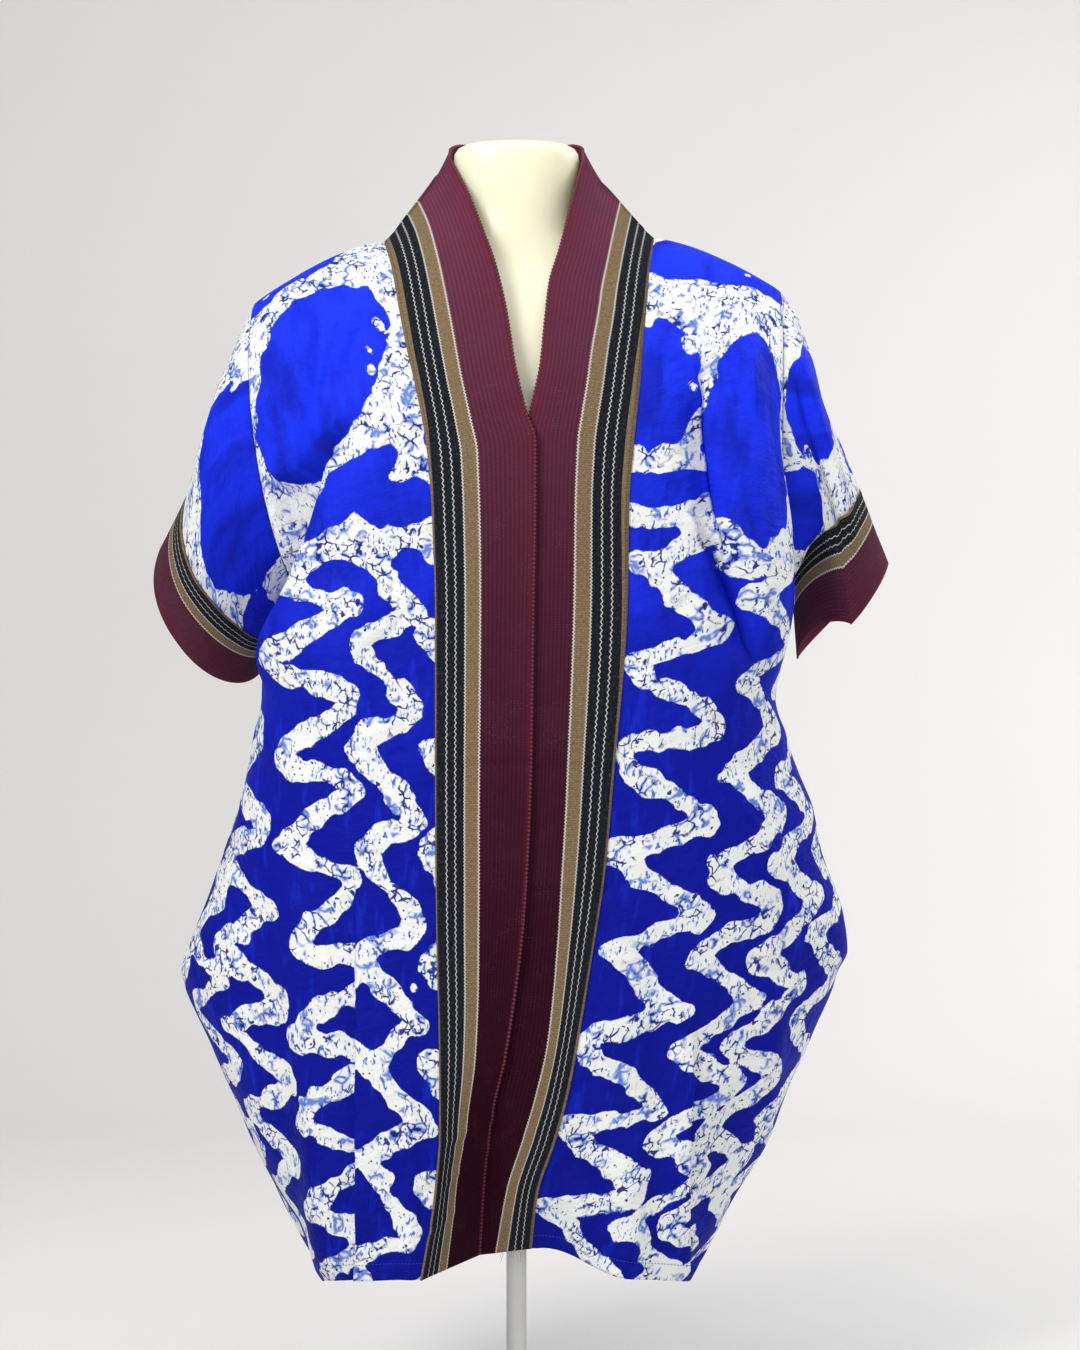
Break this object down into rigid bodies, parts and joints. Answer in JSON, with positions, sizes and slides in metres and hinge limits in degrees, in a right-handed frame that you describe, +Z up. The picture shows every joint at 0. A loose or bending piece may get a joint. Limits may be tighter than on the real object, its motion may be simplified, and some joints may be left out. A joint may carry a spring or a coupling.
{
  "type": "grand boubou robe on a limbless dress form",
  "caption": "Open-front knee-length robe of printed cotton with woven front bands and cuffs on short wide sleeves, worn by a limbless dress form on a round stand.",
  "frame": {"origin": "centre of the underside of the stand's round base", "axes": "+Z up, the front of the robe faces -Y, +X is the wearer's left"},
  "size_m": [0.6628, 0.3032, 1.144],
  "materials": {
    "printed_cotton": "matt, crisp plain-weave cotton",
    "woven_strip": "matt, ribbed hand-woven strip",
    "ivory_plastic": "satin gloss",
    "white_painted_metal": "satin paint"
  },
  "bodies": {
    "root": {"robe_back": "printed_cotton", "robe_front_left": "printed_cotton", "robe_front_right": "printed_cotton", "sleeve_left": "printed_cotton", "sleeve_right": "printed_cotton", "cuff_left": "woven_strip", "cuff_right": "woven_strip", "band_left": "woven_strip", "band_right": "woven_strip", "form_torso": "ivory_plastic", "stand_pole": "white_painted_metal", "stand_base": "white_painted_metal"}
  },
  "joints": []
}
